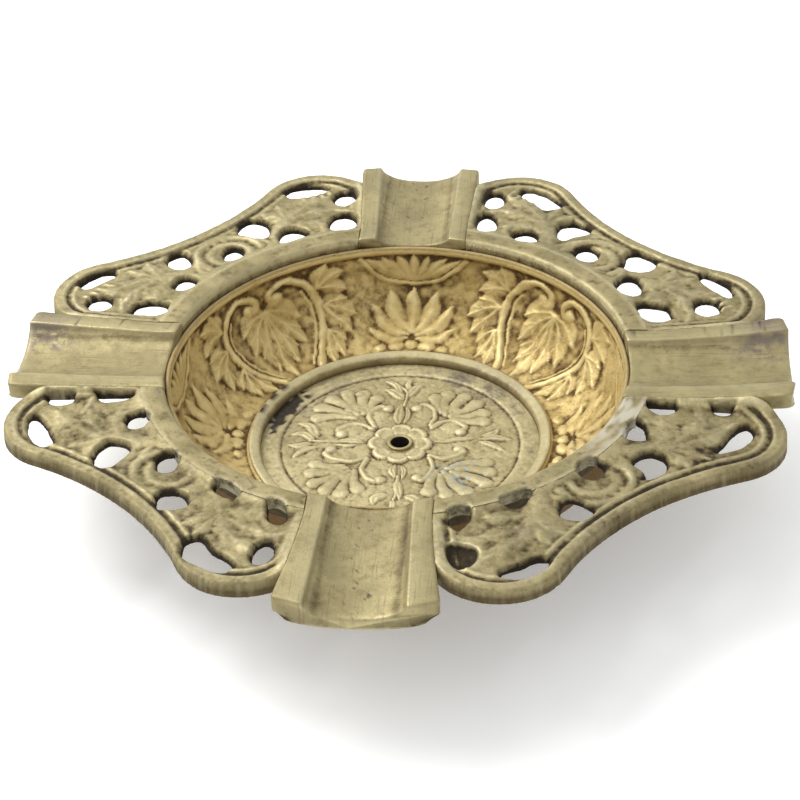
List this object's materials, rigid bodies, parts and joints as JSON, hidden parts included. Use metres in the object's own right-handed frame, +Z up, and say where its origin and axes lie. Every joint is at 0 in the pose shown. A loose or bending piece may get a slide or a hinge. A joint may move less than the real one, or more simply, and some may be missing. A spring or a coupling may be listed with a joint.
{
  "type": "incense burner",
  "caption": "Cast-brass incense burner: round relief bowl with a stick socket in its floor, in a pierced leafwork frame with trough rests.",
  "frame": {"origin": "on the table under the middle of the foot ring", "axes": "+Z up through the stick socket; one rest lies along each of +X, +Y, -X and -Y, with the rest called front at -Y"},
  "size_m": [0.15, 0.15, 0.0287],
  "materials": {
    "cast_brass_frame": "aged cast brass, rubbed pale on the high edges, olive-brown in the recesses",
    "cast_brass_bowl": "aged cast brass, warm golden brown with dark brown recesses",
    "cast_brass_floor": "aged cast brass with purple-grey tarnish and small verdigris flecks",
    "turned_brass": "turned brass, dull"
  },
  "bodies": {
    "root": {"bowl": "cast_brass_bowl", "collar_ring": "cast_brass_frame", "rest_right": "cast_brass_frame", "rest_back": "cast_brass_frame", "rest_left": "cast_brass_frame", "rest_front": "cast_brass_frame", "openwork_panel_back_right": "cast_brass_frame", "openwork_panel_back_left": "cast_brass_frame", "openwork_panel_front_left": "cast_brass_frame", "openwork_panel_front_right": "cast_brass_frame", "floor_ring": "cast_brass_floor", "floor_medallion": "cast_brass_floor", "stick_socket": "turned_brass", "socket_washer": "turned_brass", "foot_ring": "turned_brass"}
  },
  "joints": []
}
